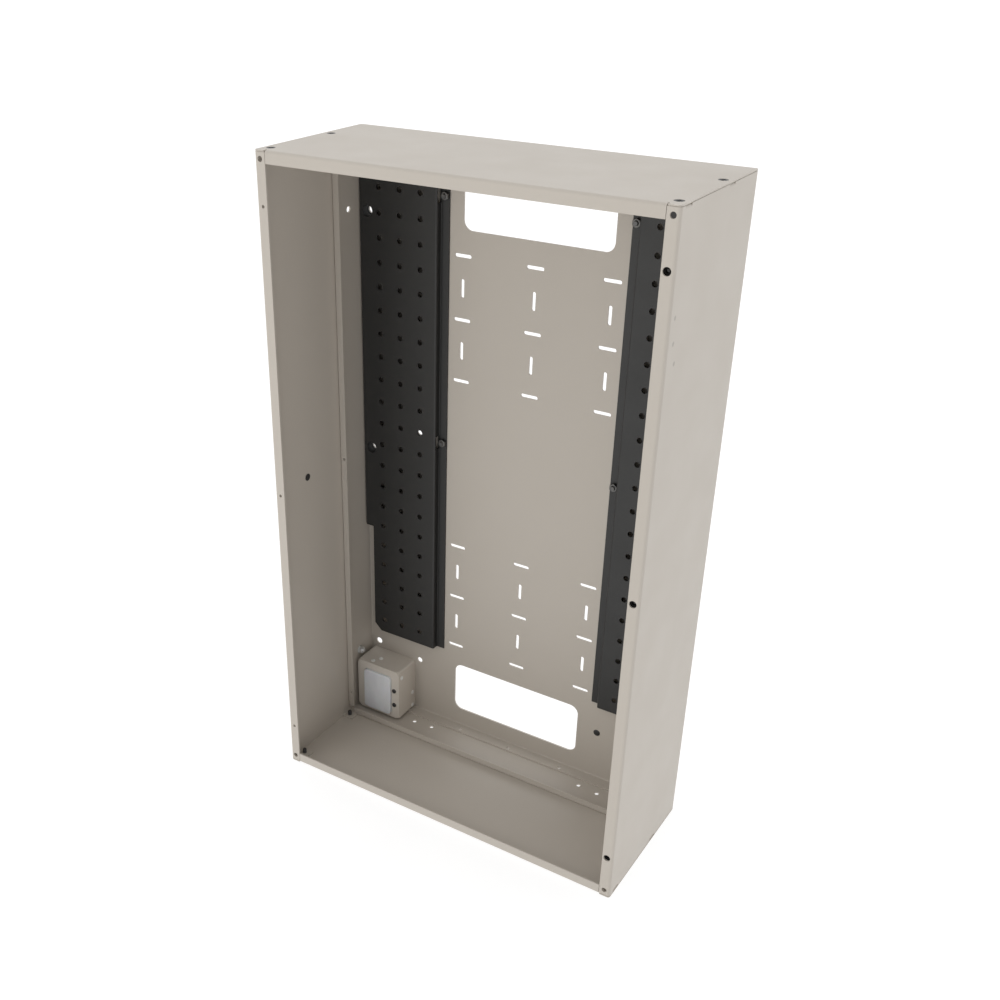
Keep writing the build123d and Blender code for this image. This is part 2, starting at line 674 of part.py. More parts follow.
def junction_box_mount_screws():
    """Screws from inside the junction box into the back panel."""
    seat = BACK_FACE - BOX_SHEET
    places = box_mount_places()
    heads = along_y(circles(places, BOX_SCREW_HEAD), seat - BOX_SCREW_HEAD_THICK, seat)
    return heads + along_y(circles(places, BOX_SCREW_SHANK), seat, BACK)


def all_parts():
    """Every sub-part under its node name."""
    return {
        "enclosure_body": enclosure_body(),
        "top_end_plate": top_end_plate(),
        "bottom_end_plate": bottom_end_plate(),
        "top_end_screws": top_end_screws(),
        "bottom_end_screws": mirrored_ends(top_end_screws()),
        "left_ledge": side_ledge(),
        "right_ledge": mirrored_sides(side_ledge()),
        "bottom_ledge": end_ledge(),
        "top_ledge": mirrored_ends(end_ledge()),
        "left_device_plate": left_device_plate(),
        "right_device_plate": mirrored_sides(left_device_plate()),
        "left_plate_studs": plate_studs(-1),
        "right_plate_studs": plate_studs(1),
        "left_plate_nuts": plate_nuts(-1),
        "right_plate_nuts": plate_nuts(1),
        "cover_nuts": cover_nuts(),
        "ground_stud": ground_stud(),
        "ground_washer": ground_washer(),
        "ground_nut": ground_nut(),
        "side_wall_plug": side_wall_plug(),
        "back_panel_plug": back_panel_plug(),
        "junction_box_body": junction_box_body(),
        "junction_box_cover": junction_box_cover(),
        "terminal_block": terminal_block(),
        "junction_box_cover_screws": junction_box_cover_screws(),
        "junction_box_rivets": junction_box_rivets(),
        "junction_box_mount_screws": junction_box_mount_screws(),
    }


def main():
    os.makedirs("parts", exist_ok=True)
    for name, part in all_parts().items():
        export_step(part, f"parts/{name}.step")


main()
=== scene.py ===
import math

import bmesh
import bpy
import numpy as np
from bpy.props import FloatProperty, FloatVectorProperty, IntProperty, PointerProperty
from bpy.types import Operator, Panel, PropertyGroup
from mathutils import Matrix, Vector


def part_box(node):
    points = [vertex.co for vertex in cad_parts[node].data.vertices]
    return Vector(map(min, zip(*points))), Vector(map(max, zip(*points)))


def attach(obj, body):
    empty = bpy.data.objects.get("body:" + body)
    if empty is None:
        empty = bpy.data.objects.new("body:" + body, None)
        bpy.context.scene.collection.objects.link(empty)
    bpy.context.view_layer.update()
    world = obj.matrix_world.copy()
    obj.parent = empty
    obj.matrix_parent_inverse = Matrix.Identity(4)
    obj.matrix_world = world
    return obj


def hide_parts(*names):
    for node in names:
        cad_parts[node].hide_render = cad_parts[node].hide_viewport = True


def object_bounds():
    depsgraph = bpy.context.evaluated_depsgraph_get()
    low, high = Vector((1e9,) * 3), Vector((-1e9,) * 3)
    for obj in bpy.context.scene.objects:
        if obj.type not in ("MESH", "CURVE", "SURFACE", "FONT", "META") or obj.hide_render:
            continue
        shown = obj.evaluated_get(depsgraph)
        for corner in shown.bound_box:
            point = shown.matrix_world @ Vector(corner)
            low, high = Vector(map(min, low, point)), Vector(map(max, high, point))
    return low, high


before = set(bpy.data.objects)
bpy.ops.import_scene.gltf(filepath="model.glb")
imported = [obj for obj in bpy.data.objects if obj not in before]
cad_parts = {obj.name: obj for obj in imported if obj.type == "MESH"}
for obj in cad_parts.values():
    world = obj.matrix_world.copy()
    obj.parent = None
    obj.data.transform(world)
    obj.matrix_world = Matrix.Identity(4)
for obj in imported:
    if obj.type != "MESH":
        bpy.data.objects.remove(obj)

bl_info = {
    "name": "Subpanel enclosure",
    "version": (1, 0, 0),
    "blender": (4, 5, 0),
    "location": "3D View > Sidebar > Enclosure",
    "description": "Finishes and hardware of an open-front sheet steel subpanel enclosure",
    "category": "Object",
}

CAD_BOX = [list(corner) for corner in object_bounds()]
MM = 0.001
MERGE = 1e-7                    # corners nearer than this are one corner
FLOOR_GAP = 0.5 * MM            # floor below the underside
FORWARDS = (0, -1, 0)           # out of the open front
INWARDS = (1, 0, 0)             # from the left wall

# Spot weld marks: behind the front plane, and height above the underside
WELD_MARKS = ((8.5 * MM, 532.0 * MM), (10.0 * MM, 513.0 * MM), (15.5 * MM, 497.0 * MM))
WELD_MARK_RADIUS = 2.2 * MM

# Sizes inside a piece that its box doesn't tell
END_SCREW_SHANK = 2.0 * MM      # every shank and bore is a radius
END_SCREW_HEAD_DEPTH = 1.3 * MM
COVER_NUT_BORE = 1.7 * MM
THREAD_FIT = 0.02 * MM          # a nut's bore to its stud
WASHER_FIT = 0.05 * MM
PLUG_HEAD_HEIGHT = 0.8 * MM
PLUG_SHANK = 2.45 * MM
PAN_HEAD_HEIGHT = 1.6 * MM
PAN_SCREW_SHANK = 1.3 * MM
RIVET_HEAD_HEIGHT = 0.8 * MM
RIVET_SHANK = 1.1 * MM
BLOCK_CORNER = 4.0 * MM
BLOCK_EDGE = 1.2 * MM

SHEET_NODES = [
    "enclosure_body",
    "top_end_plate",
    "bottom_end_plate",
    "left_ledge",
    "right_ledge",
    "bottom_ledge",
    "top_ledge",
]
DEVICE_PLATE_NODES = ["left_device_plate", "right_device_plate"]
BOX_SHEET_NODES = ["junction_box_body", "junction_box_cover"]


# ---------------------------------------------------------------- sizes and colours

class PaintSettings(PropertyGroup):
    enclosure: FloatVectorProperty(
        name="Enclosure paint",
        description="Warm light grey powder coat of the folded sheet",
        subtype="COLOR",
        size=3,
        min=0.0,
        max=1.0,
        default=(0.521, 0.478, 0.424),
    )
    enclosure_gloss: FloatProperty(
        name="Enclosure roughness",
        description="Mean roughness of the enclosure's powder coat",
        subtype="FACTOR",
        min=0.0,
        max=1.0,
        default=0.46,
    )
    device_plate: FloatVectorProperty(
        name="Device plate coat",
        description="Matt black powder coat of the device plates",
        subtype="COLOR",
        size=3,
        min=0.0,
        max=1.0,
        default=(0.023, 0.023, 0.0225),
    )
    junction_box: FloatVectorProperty(
        name="Junction box paint",
        description="Warm grey paint of the junction box",
        subtype="COLOR",
        size=3,
        min=0.0,
        max=1.0,
        default=(0.700, 0.650, 0.585),
    )
    terminal_block: FloatVectorProperty(
        name="Terminal block plastic",
        description="Light blue-grey moulded plastic",
        subtype="COLOR",
        size=3,
        min=0.0,
        max=1.0,
        default=(0.820, 0.845, 0.890),
    )
    grain: FloatProperty(
        name="Powder coat grain",
        description="Width of one bump of the powder coat's surface",
        subtype="DISTANCE",
        unit="LENGTH",
        min=0.0002,
        default=1.1 * MM,
    )


class HardwareSettings(PropertyGroup):
    thread_pitch: FloatProperty(
        name="Thread pitch",
        description="Pitch of the studs and screws",
        subtype="DISTANCE",
        unit="LENGTH",
        min=0.0003,
        default=0.7 * MM,
    )
    thread_depth: FloatProperty(
        name="Thread depth",
        description="Depth of the thread's groove",
        subtype="DISTANCE",
        unit="LENGTH",
        min=0.0,
        default=0.3 * MM,
    )
    recess_span: FloatProperty(
        name="Cross recess span",
        description="Width of a screw's cross recess as a share of its head",
        subtype="FACTOR",
        min=0.0,
        max=1.0,
        default=0.62,
    )
    recess_depth: FloatProperty(
        name="Cross recess depth",
        description="Depth of the cross recess at its centre",
        subtype="DISTANCE",
        unit="LENGTH",
        min=0.0,
        default=1.0 * MM,
    )
    round_steps: IntProperty(
        name="Steps around",
        description="Number of faces around a screw, nut or plug; a multiple of 12",
        min=12,
        default=48,
    )


class StageSettings(PropertyGroup):
    azimuth: FloatProperty(
        name="Camera azimuth",
        description="Turn of the camera about the vertical, to the right of the front",
        subtype="ANGLE",
        unit="ROTATION",
        default=math.radians(33.45),
    )
    elevation: FloatProperty(
        name="Camera elevation",
        description="Height of the camera above the horizon",
        subtype="ANGLE",
        unit="ROTATION",
        default=math.radians(28.94),
    )
    distance: FloatProperty(
        name="Camera distance",
        description="From the camera to the point that it looks at",
        subtype="DISTANCE",
        unit="LENGTH",
        default=1.1378,
    )
    aim: FloatVectorProperty(
        name="Aim point",
        description="The point on the enclosure's middle plane that the camera looks at",
        subtype="XYZ",
        unit="LENGTH",
        size=3,
        default=(-0.0751, 0.0, 0.2343),
    )
    lens: FloatProperty(
        name="Lens",
        description="Focal length in millimetres on a 36 mm sensor",
        default=43.17,
    )
    shift: FloatVectorProperty(
        name="Lens shift",
        description="Sideways and upward shift of the frame, as a share of its width",
        size=2,
        default=(0.0845, 0.0603),
    )
    light_place: FloatVectorProperty(
        name="Front light place",
        description="Middle of the soft light, in front of the opening and to the left",
        subtype="XYZ",
        unit="LENGTH",
        size=3,
        default=(-0.9, -2.0, 0.9),
    )
    light_size: FloatProperty(
        name="Front light size",
        description="Side of the square soft light",
        subtype="DISTANCE",
        unit="LENGTH",
        default=1.2,
    )
    light_power: FloatProperty(
        name="Front light power",
        description="Power of the soft light",
        subtype="POWER",
        unit="POWER",
        default=6.3,
    )
    light_colour: FloatVectorProperty(
        name="Front light colour",
        description="Slightly warm white",
        subtype="COLOR",
        size=3,
        default=(1.0, 0.965, 0.89),
    )
    sky: FloatProperty(
        name="Sky strength",
        description="Strength of the white surroundings",
        min=0.0,
        default=1.0,
    )
    top_lift: FloatProperty(
        name="Overhead lift",
        description="How much stronger the surroundings are straight overhead",
        min=0.0,
        default=0.14,
    )
    right_shade: FloatProperty(
        name="Front right shade",
        description="How much weaker the surroundings are in front of the opening, to the right",
        subtype="FACTOR",
        min=0.0,
        max=1.0,
        default=0.73,
    )
    floor_glow: FloatProperty(
        name="Floor glow",
        description="Light that the floor gives off, which keeps it white under the enclosure",
        min=0.0,
        default=0.78,
    )
    floor_size: FloatProperty(
        name="Floor size",
        description="Side of the square floor",
        subtype="DISTANCE",
        unit="LENGTH",
        default=90.0,
    )


# ---------------------------------------------------------------- materials

def start_material(name, colour, roughness, metallic=0.0):
    """Node material with its main shader set; returns the material and the shader."""
    material = bpy.data.materials.new(name)
    material.use_nodes = True
    shader = material.node_tree.nodes["Principled BSDF"]
    shader.inputs["Base Color"].default_value = (*colour, 1.0)
    shader.inputs["Roughness"].default_value = roughness
    shader.inputs["Metallic"].default_value = metallic
    return material, shader


def object_coordinates(tree):
    """The place of a surface point in the enclosure's own frame, in metres."""
    return tree.nodes.new("ShaderNodeTexCoord").outputs["Object"]


def noise(tree, feature, detail=2.0, stretch=(1.0, 1.0, 1.0)):
    """Noise with bumps of about the given width, stretched by a factor along each axis."""
    mapping = tree.nodes.new("ShaderNodeMapping")
    mapping.inputs["Scale"].default_value = [1.0 / factor for factor in stretch]
    tree.links.new(object_coordinates(tree), mapping.inputs["Vector"])
    texture = tree.nodes.new("ShaderNodeTexNoise")
    texture.inputs["Scale"].default_value = 1.0 / feature
    texture.inputs["Detail"].default_value = detail
    tree.links.new(mapping.outputs["Vector"], texture.inputs["Vector"])
    return texture.outputs["Fac"]


def ranged(tree, value, low, high, from_low=0.3, from_high=0.7):
    """A value carried from one range into another."""
    node = tree.nodes.new("ShaderNodeMapRange")
    node.inputs["From Min"].default_value = from_low
    node.inputs["From Max"].default_value = from_high
    node.inputs["To Min"].default_value = low
    node.inputs["To Max"].default_value = high
    tree.links.new(value, node.inputs["Value"])
    return node.outputs["Result"]


def blend_colour(tree, factor, first, second):
    """A colour between two, by a varying factor. Each colour is three numbers or an output."""
    node = tree.nodes.new("ShaderNodeMix")
    node.data_type = "RGBA"
    tree.links.new(factor, node.inputs["Factor"])
    for socket, colour in zip((node.inputs[6], node.inputs[7]), (first, second)):
        if isinstance(colour, bpy.types.NodeSocket):
            tree.links.new(colour, socket)
        else:
            socket.default_value = (*colour, 1.0)
    return node.outputs[2]


def scaled(colour, factor):
    """A colour made lighter or darker."""
    return tuple(min(1.0, channel * factor) for channel in colour)


def add_bump(tree, shader, height, depth):
    """Bumps of the given depth in the shader's normal, on top of those already there."""
    bump = tree.nodes.new("ShaderNodeBump")
    bump.inputs["Distance"].default_value = depth
    tree.links.new(height, bump.inputs["Height"])
    socket = shader.inputs["Normal"]
    if socket.is_linked:
        tree.links.new(socket.links[0].from_socket, bump.inputs["Normal"])
    tree.links.new(bump.outputs["Normal"], socket)


def powder_coat(name, colour, roughness, grain, depth):
    """Powder coat: fine bumps, a slow drift of shade broken by specks, and duller patches."""
    material, shader = start_material(name, colour, roughness)
    tree = material.node_tree
    drift = ranged(tree, noise(tree, 0.16, 3.0, (1.0, 1.0, 1.8)), 0.0, 1.0)
    speckle = ranged(tree, noise(tree, grain * 0.7, 1.0), 0.0, 1.0)
    drifting = blend_colour(tree, drift, scaled(colour, 0.975), scaled(colour, 1.025))
    shade = blend_colour(tree, speckle, drifting, colour)
    tree.links.new(shade, shader.inputs["Base Color"])
    dull = ranged(tree, noise(tree, 0.035, 4.0), roughness - 0.05, roughness + 0.05)
    tree.links.new(dull, shader.inputs["Roughness"])
    add_bump(tree, shader, noise(tree, grain, 2.0), depth)
    add_bump(tree, shader, noise(tree, grain * 6.0, 2.0), depth * 2.0)
    return material


def weld_mark_shade(tree, places, radius):
    """One inside any of the round marks and zero outside, with a soft edge."""
    total = None
    for place in places:
        distance = tree.nodes.new("ShaderNodeVectorMath")
        distance.operation = "DISTANCE"
        distance.inputs[1].default_value = place
        tree.links.new(object_coordinates(tree), distance.inputs[0])
        mark = ranged(tree, distance.outputs["Value"], 1.0, 0.0, radius * 0.6, radius)
        if total is None:
            total = mark
            continue
        join = tree.nodes.new("ShaderNodeMath")
        join.operation = "MAXIMUM"
        tree.links.new(total, join.inputs[0])
        tree.links.new(mark, join.inputs[1])
        total = join.outputs["Value"]
    return total


def weld_mark_places():
    """Three spot weld marks on the right side wall, behind its front fold."""
    low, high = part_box("enclosure_body")
    return [(high.x, low.y + behind, height) for behind, height in WELD_MARKS]


def enclosure_paint(paint):
    """The enclosure's powder coat, with faint spot weld dimples under it: a real bump, and painted shade
    that darkens the paint inside them.
    """
    material = powder_coat(
        "warm_grey_powder_coat", paint.enclosure, paint.enclosure_gloss, paint.grain, 0.02 * MM
    )
    tree = material.node_tree
    shader = tree.nodes["Principled BSDF"]
    marks = weld_mark_shade(tree, weld_mark_places(), WELD_MARK_RADIUS)
    shade = shader.inputs["Base Color"].links[0].from_socket
    # Painted shade: the paint inside the weld dimples is darkened to stand in for their shading; the bump
    # below is the real dimple.
    darker = blend_colour(tree, marks, shade, scaled(paint.enclosure, 0.74))
    tree.links.new(darker, shader.inputs["Base Color"])
    sunk = ranged(tree, marks, 1.0, 0.0, 0.0, 1.0)
    add_bump(tree, shader, sunk, 0.15 * MM)
    return material


def device_plate_coat(paint):
    """Matt black powder coat with a slightly open texture."""
    return powder_coat("black_powder_coat", paint.device_plate, 0.47, paint.grain * 0.8, 0.03 * MM)


def junction_box_coat(paint):
    """The junction box's paint, a little duller than the enclosure's."""
    return powder_coat("junction_box_paint", paint.junction_box, 0.5, paint.grain * 0.8, 0.02 * MM)


def zinc_plating():
    """Bright zinc: fine drawn lines, and a faint yellow and blue drift in its colour."""
    material, shader = start_material("bright_zinc", (0.74, 0.75, 0.76), 0.36, 0.6)
    tree = material.node_tree
    drift = ranged(tree, noise(tree, 2.5 * MM, 3.0), 0.0, 1.0)
    shade = blend_colour(tree, drift, (0.78, 0.77, 0.72), (0.70, 0.73, 0.78))
    tree.links.new(shade, shader.inputs["Base Color"])
    lines = noise(tree, 0.12 * MM, 2.0, (1.0, 8.0, 1.0))
    tree.links.new(ranged(tree, lines, 0.28, 0.46), shader.inputs["Roughness"])
    add_bump(tree, shader, lines, 0.004 * MM)
    return material


def bare_aluminium():
    """Tumbled aluminium: pale and satin, with fine scratches."""
    material, shader = start_material("bare_aluminium", (0.92, 0.92, 0.91), 0.46, 0.2)
    tree = material.node_tree
    cloud = ranged(tree, noise(tree, 1.5 * MM, 3.0), 0.0, 1.0)
    shade = blend_colour(tree, cloud, (0.89, 0.89, 0.88), (0.95, 0.95, 0.94))
    tree.links.new(shade, shader.inputs["Base Color"])
    scratches = noise(tree, 0.1 * MM, 2.0, (1.0, 6.0, 1.0))
    tree.links.new(ranged(tree, scratches, 0.38, 0.52), shader.inputs["Roughness"])
    return material


def black_oxide():
    """Blackened steel: near-black with brown patches and an oily, uneven gloss."""
    material, shader = start_material("black_oxide", (0.022, 0.021, 0.020), 0.38, 0.7)
    tree = material.node_tree
    patches = ranged(tree, noise(tree, 1.6 * MM, 4.0), 0.0, 1.0)
    shade = blend_colour(tree, patches, (0.014, 0.014, 0.015), (0.040, 0.034, 0.030))
    tree.links.new(shade, shader.inputs["Base Color"])
    gloss = ranged(tree, noise(tree, 0.7 * MM, 3.0), 0.3, 0.5)
    tree.links.new(gloss, shader.inputs["Roughness"])
    add_bump(tree, shader, noise(tree, 0.25 * MM, 2.0), 0.01 * MM)
    return material


def black_phosphate_painted_shade():
    """Phosphated steel, matt with fine grey crystals, made nearly black as painted shade for the shadow
    seen through the holes of the right lip.
    """
    material, shader = start_material("black_phosphate_painted_shade", (0.006, 0.006, 0.006), 0.85)
    shader.inputs["Specular IOR Level"].default_value = 0.15
    tree = material.node_tree
    crystals = ranged(tree, noise(tree, 0.2 * MM, 3.0), 0.0, 1.0, 0.45, 0.75)
    shade = blend_colour(tree, crystals, (0.004, 0.004, 0.004), (0.012, 0.012, 0.012))
    tree.links.new(shade, shader.inputs["Base Color"])
    add_bump(tree, shader, crystals, 0.01 * MM)
    return material


def black_zinc():
    """Black-passivated zinc: dark grey metal with a cloudy sheen."""
    material, shader = start_material("black_zinc", (0.12, 0.12, 0.12), 0.4, 1.0)
    tree = material.node_tree
    cloud = ranged(tree, noise(tree, 1.8 * MM, 3.0), 0.0, 1.0)
    shade = blend_colour(tree, cloud, (0.10, 0.10, 0.105), (0.16, 0.155, 0.145))
    tree.links.new(shade, shader.inputs["Base Color"])
    tree.links.new(ranged(tree, noise(tree, 0.6 * MM), 0.34, 0.48), shader.inputs["Roughness"])
    return material


def black_nylon():
    """Moulded nylon: an even spark-eroded grain."""
    material, shader = start_material("black_nylon", (0.018, 0.018, 0.019), 0.52)
    tree = material.node_tree
    cloud = ranged(tree, noise(tree, 2.0 * MM), 0.0, 1.0)
    shade = blend_colour(tree, cloud, (0.015, 0.015, 0.016), (0.026, 0.026, 0.027))
    tree.links.new(shade, shader.inputs["Base Color"])
    grain = noise(tree, 0.3 * MM, 1.0)
    tree.links.new(ranged(tree, grain, 0.45, 0.6), shader.inputs["Roughness"])
    add_bump(tree, shader, grain, 0.02 * MM)
    return material


def terminal_plastic(paint):
    """Moulded plastic with faint flow marks and a fine satin grain."""
    colour = paint.terminal_block
    material, shader = start_material("terminal_block_plastic", colour, 0.42)
    shader.inputs["Subsurface Weight"].default_value = 0.08
    shader.inputs["Subsurface Scale"].default_value = 1.0 * MM
    tree = material.node_tree
    flow = ranged(tree, noise(tree, 9.0 * MM, 2.0, (1.0, 1.0, 3.0)), 0.0, 1.0)
    shade = blend_colour(tree, flow, scaled(colour, 0.96), scaled(colour, 1.05))
    tree.links.new(shade, shader.inputs["Base Color"])
    grain = noise(tree, 0.35 * MM, 2.0)
    tree.links.new(ranged(tree, grain, 0.36, 0.5), shader.inputs["Roughness"])
    add_bump(tree, shader, grain, 0.012 * MM)
    return material


def pale_floor(glow):
    """Even white floor with a faint cloud, which gives off a little light of its own."""
    material, shader = start_material("pale_floor", (0.32, 0.32, 0.32), 0.8)
    shader.inputs["Emission Color"].default_value = (1.0, 1.0, 1.0, 1.0)
    shader.inputs["Emission Strength"].default_value = glow
    tree = material.node_tree
    cloud = ranged(tree, noise(tree, 0.2), 0.0, 1.0)
    shade = blend_colour(tree, cloud, (0.31, 0.31, 0.31), (0.33, 0.33, 0.33))
    tree.links.new(shade, shader.inputs["Base Color"])
    return material


def paint_nodes(names, material):
    """Gives every material slot of the named CAD nodes one material."""
    for name in names:
        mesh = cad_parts[name].data
        if not mesh.materials:
            mesh.materials.append(material)
        for index in range(len(mesh.materials)):
            mesh.materials[index] = material


# ---------------------------------------------------------------- meshes

def solid_boxes(node):
    """The box of each separate solid of a CAD node, as (lowest, highest) corner arrays.

    Equal corners share a number. Each triangle hands its lowest number to its three corners
    until no number changes, which leaves one number for each solid.
    """
    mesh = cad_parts[node].data
    corners = np.empty(len(mesh.vertices) * 3, np.float64)
    mesh.vertices.foreach_get("co", corners)
    corners = corners.reshape(-1, 3)
    mesh.calc_loop_triangles()
    triangles = np.empty(len(mesh.loop_triangles) * 3, np.int64)
    mesh.loop_triangles.foreach_get("vertices", triangles)
    _, shared = np.unique(np.round(corners / (0.01 * MM)), axis=0, return_inverse=True)
    shared = shared.reshape(-1)
    triangles = shared[triangles].reshape(-1, 3)
    number = np.arange(shared.max() + 1)
    while True:
        lowest = number[triangles].min(axis=1)
        new = number.copy()
        np.minimum.at(new, triangles.ravel(), np.repeat(lowest, 3))
        new = new[new]
        if np.array_equal(new, number):
            break
        number = new
    of_corner = number[shared]
    solids = [corners[of_corner == value] for value in np.unique(of_corner)]
    return [(solid.min(axis=0), solid.max(axis=0)) for solid in solids]


def grid_faces(rows, columns, ring):
    """Quads of a grid whose columns close on themselves, and its rows too if it is a ring."""
    row = np.arange(rows if ring else rows - 1)[:, None]
    column = np.arange(columns)[None, :]
    below = (row + 1) % rows
    beside = (column + 1) % columns
    quads = np.stack(
        [
            row * columns + column,
            row * columns + beside,
            below * columns + beside,
            below * columns + column,
        ],
        axis=-1,
    )
    return quads.reshape(-1, 4)


def piece_from_grids(name, grids, material, replaced, smooth_angle=35.0):
    """One object from grids, each an array (rows, columns, 3) with a flag for a closed ring.

    Corners that fall together at the poles are merged, and the faces are turned outwards.
    """
    corners = []
    faces = []
    count = 0
    for grid, ring in grids:
        rows, columns = grid.shape[:2]
        faces.append(grid_faces(rows, columns, ring) + count)
        corners.append(grid.reshape(-1, 3))
        count += rows * columns
    mesh = bpy.data.meshes.new(name)
    mesh.from_pydata(np.concatenate(corners).tolist(), [], np.concatenate(faces).tolist())
    work = bmesh.new()
    work.from_mesh(mesh)
    bmesh.ops.remove_doubles(work, verts=work.verts, dist=MERGE)
    bmesh.ops.dissolve_degenerate(work, dist=MERGE, edges=work.edges)
    bmesh.ops.recalc_face_normals(work, faces=work.faces)
    work.to_mesh(mesh)
    work.free()
    mesh.materials.append(material)
    mesh.polygons.foreach_set("use_smooth", np.ones(len(mesh.polygons), bool))
    mesh.set_sharp_from_angle(angle=math.radians(smooth_angle))
    piece = bpy.data.objects.new(name, mesh)
    bpy.context.scene.collection.objects.link(piece)
    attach(piece, "root")
    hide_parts(replaced)
    return piece


def frame_along(axis):
    """Three unit vectors, the last one along the axis: rows of a turning matrix."""
    along = np.array(axis, float)
    helper = np.array((0.0, 0.0, 1.0)) if abs(along[2]) < 0.5 else np.array((1.0, 0.0, 0.0))
    first = np.cross(helper, along)
    first /= np.linalg.norm(first)
    return np.array([first, np.cross(along, first), along])


def placed(grid, place, axis):
    """A grid made about the origin with its height along +Z, put at a place along an axis."""
    return np.asarray(grid) @ frame_along(axis) + np.asarray(place)


def angles(steps):
    """Angles of the columns around an axis."""
    return np.arange(steps) * (2 * math.pi / steps)


def turned(radius, height, steps):
    """Surface of revolution. A point at angle a on row i is (radius cos a, radius sin a, height).

    The radius and the height are one value for each row, or one for each row and angle.
    """
    angle = angles(steps)[None, :]
    radius = np.asarray(radius, float)
    height = np.asarray(height, float)
    radius = radius[:, None] if radius.ndim == 1 else radius
    height = height[:, None] if height.ndim == 1 else height
    radius, height, angle = np.broadcast_arrays(radius, height, angle)
    return np.stack([radius * np.cos(angle), radius * np.sin(angle), height], axis=-1)


def arc(centre, radius, start, end, steps=6):
    """Points (r, h) on a circular arc of a profile, between two angles in degrees."""
    angle = np.radians(np.linspace(start, end, steps))
    return np.stack([centre[0] + radius * np.cos(angle), centre[1] + radius * np.sin(angle)], axis=-1)


def thread_radius(radius, height, steps, pitch, depth):
    """Radius of a threaded rod on rows of the given heights.

    It is the outer radius less the groove's depth times how far the point is from the crest:
    a triangle wave of height / pitch less one turn per turn of the angle.
    """
    phase = height[:, None] / pitch - angles(steps)[None, :] / (2 * math.pi)
    from_crest = 2 * np.abs(phase - np.round(phase))
    groove = np.clip(1.25 * from_crest - 0.125, 0.0, 1.0)
    return radius - depth * groove


def cross_recess(radius, angle, span, depth):
    """How deep a cross recess is at a point of a screw's head.

    The cross is two bars at right angles. Inside them the depth falls from the centre to the
    ends of the bars as one less the share of the radius, and it fades over a bar's side wall.
    """
    x = radius * np.cos(angle)
    y = radius * np.sin(angle)
    half_bar = span * 0.14
    wall = span * 0.05
    to_side = np.minimum(np.abs(x), np.abs(y)) - half_bar
    to_end = np.maximum(np.abs(x), np.abs(y)) - span / 2
    inside = np.clip(-np.maximum(to_side, to_end) / wall + 0.5, 0.0, 1.0)
    floor = depth * (1.0 - 0.55 * np.clip(2 * radius / span, 0.0, 1.0))
    return inside * floor


# ---------------------------------------------------------------- hardware

def head_top(head_radius, crown, hardware):
    """Rows of a screw head's top from its centre to its rim, with a cross recess.

    The height at radius r is crown times one less the square of r over the rim's radius, less
    the recess. Returns the radii and the heights.
    """
    steps = hardware.round_steps
    rows = np.linspace(0.0, 1.0, 22)
    radius = np.repeat((rows * head_radius)[:, None], steps, axis=1)
    angle = np.repeat(angles(steps)[None, :], len(rows), axis=0)
    recess = cross_recess(
        radius, angle, 2 * head_radius * hardware.recess_span, hardware.recess_depth
    )
    return radius, crown * (1.0 - (radius / head_radius) ** 2) - recess


def shank_rows(radius, start, end, hardware):
    """Rows of a threaded shank between two heights, with six rows to a turn of the thread."""
    turns = abs(end - start) / hardware.thread_pitch
    height = np.linspace(start, end, max(2, int(turns * 6)))
    reach = thread_radius(
        radius, height, hardware.round_steps, hardware.thread_pitch, hardware.thread_depth
    )
    return reach, height


def stacked(*parts):
    """Joins rows of (radius, height), each given as arrays or as a profile of points."""
    radii = []
    heights = []
    columns = max(part[0].shape[1] for part in parts if isinstance(part, tuple) and part[0].ndim == 2)
    for part in parts:
        radius, height = part if isinstance(part, tuple) else (part[:, 0], part[:, 1])
        radius = radius if radius.ndim == 2 else np.repeat(radius[:, None], columns, axis=1)
        height = height if height.ndim == 2 else np.repeat(height[:, None], columns, axis=1)
        radii.append(radius)
        heights.append(height)
    return np.concatenate(radii), np.concatenate(heights)


def flush_screw(head_radius, length, hardware):
    """Countersunk screw with its face at height 0 and its point down: face, cone, shank, tip."""
    rim = 0.15 * MM
    point = 0.5 * MM
    top = head_top(head_radius, 0.0, hardware)
    cone = np.array([(head_radius, -rim), (END_SCREW_SHANK, -END_SCREW_HEAD_DEPTH)])
    shank = shank_rows(END_SCREW_SHANK, -END_SCREW_HEAD_DEPTH, -length + point, hardware)
    tip = np.array([(END_SCREW_SHANK * 0.7, -length), (0.0, -length)])
    return turned(*stacked(top, cone, shank, tip), hardware.round_steps)


def pan_screw(head_radius, length, hardware):
    """Pan head screw with its seat at height 0: crowned top, round rim, flat seat, shank, tip."""
    crown = PAN_HEAD_HEIGHT * 0.3
    rim_radius = PAN_HEAD_HEIGHT * 0.55
    shoulder = PAN_HEAD_HEIGHT - crown
    point = 0.4 * MM
    flat = head_radius - rim_radius * 0.5
    top_radius, top_height = head_top(flat, crown, hardware)
    rim = arc((flat, shoulder - rim_radius), rim_radius, 80, 0)
    rim[:, 0] = flat + (rim[:, 0] - flat) * 0.5
    seat = np.array([(head_radius, 0.0), (PAN_SCREW_SHANK, 0.0)])
    shank = shank_rows(PAN_SCREW_SHANK, -0.05 * MM, -length + point, hardware)
    tip = np.array([(PAN_SCREW_SHANK * 0.7, -length), (0.0, -length)])
    rows = stacked((top_radius, top_height + shoulder), rim, seat, shank, tip)
    return turned(*rows, hardware.round_steps)


